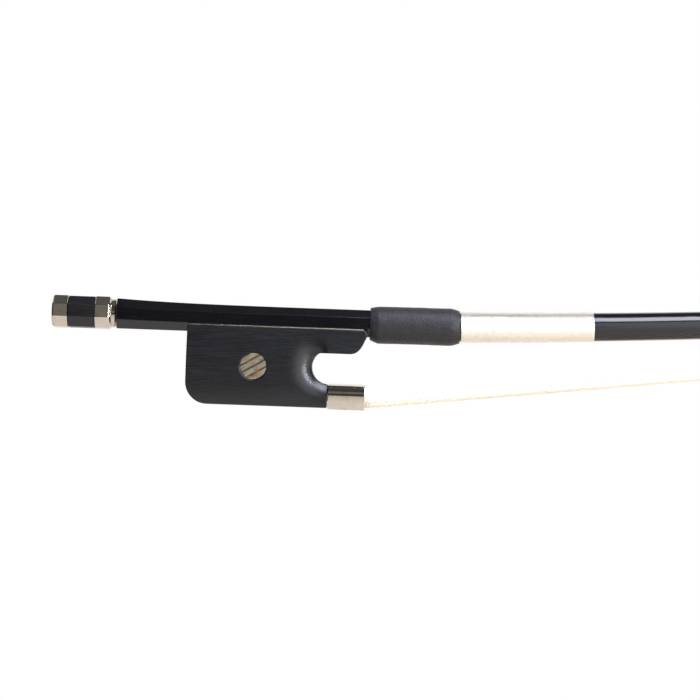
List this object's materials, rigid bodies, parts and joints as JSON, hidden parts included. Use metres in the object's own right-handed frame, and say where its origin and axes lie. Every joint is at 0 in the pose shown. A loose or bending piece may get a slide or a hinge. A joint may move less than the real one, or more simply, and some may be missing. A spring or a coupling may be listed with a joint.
{
  "type": "double bass bow",
  "caption": "French-pattern double bass bow: black octagonal-to-round stick, ebony frog with abalone eyes, screw button, leather grip, silver winding and horsehair.",
  "frame": {"origin": "middle of the bow's length and width, on the surface that the ferrule's lower front edge and the nose of the head plate touch", "axes": "+X from the screw button to the head along the hair, +Z from the hair to the stick, +Y across the bow"},
  "size_m": [0.6928, 0.0178, 0.0501],
  "materials": {
    "black_lacquer": "black lacquered hardwood stick, polished",
    "ebony": "oiled ebony, satin",
    "nickel_silver": "nickel silver, polished and slightly tarnished",
    "silver_wire": "fine silver wire, close wound",
    "brass": "machined brass",
    "screw_steel": "bright steel",
    "leather": "black goatskin with a fine pebble grain",
    "abalone": "polished abalone shell",
    "bone": "polished bone",
    "maple": "plain maple",
    "horsehair": "natural white horsehair"
  },
  "bodies": {
    "stick": {"stick": "black_lacquer", "head_liner": "ebony", "head_plate": "bone", "head_wedge": "maple", "head_hair_knot": "horsehair", "hair_ribbon": "horsehair", "leather_grip": "leather", "winding": "silver_wire"},
    "frog": {"frog_body": "ebony", "underslide": "nickel_silver", "underslide_pin_rear": "nickel_silver", "underslide_pin_front": "nickel_silver", "eye_left": "abalone", "eye_right": "abalone", "ferrule": "nickel_silver", "spread_wedge": "maple", "frog_wedge": "maple", "frog_hair_knot": "horsehair", "slide_backing": "ebony", "slide_pearl": "abalone", "eyelet_nut": "brass"},
    "screw": {"screw_rod": "screw_steel", "button_core": "ebony", "button_end_ring": "nickel_silver", "button_front_ring": "nickel_silver"}
  },
  "joints": [
    {"name": "button_turn", "type": "hinge", "parent": "stick", "child": "screw", "pos_m": [-0.32201, 0, 0.04166], "axis": [0.9931, 0, -0.1175], "range_deg": [0, 3960]},
    {"name": "frog_slide", "type": "slide", "parent": "stick", "child": "frog", "axis": [-0.9931, 0, 0.1175], "range_m": [0, 0.0077], "deforming": ["hair_ribbon"]}
  ],
  "couplings": [
    {"joint": "button_turn", "follows": "frog_slide", "rad_per_m": 8976}
  ]
}
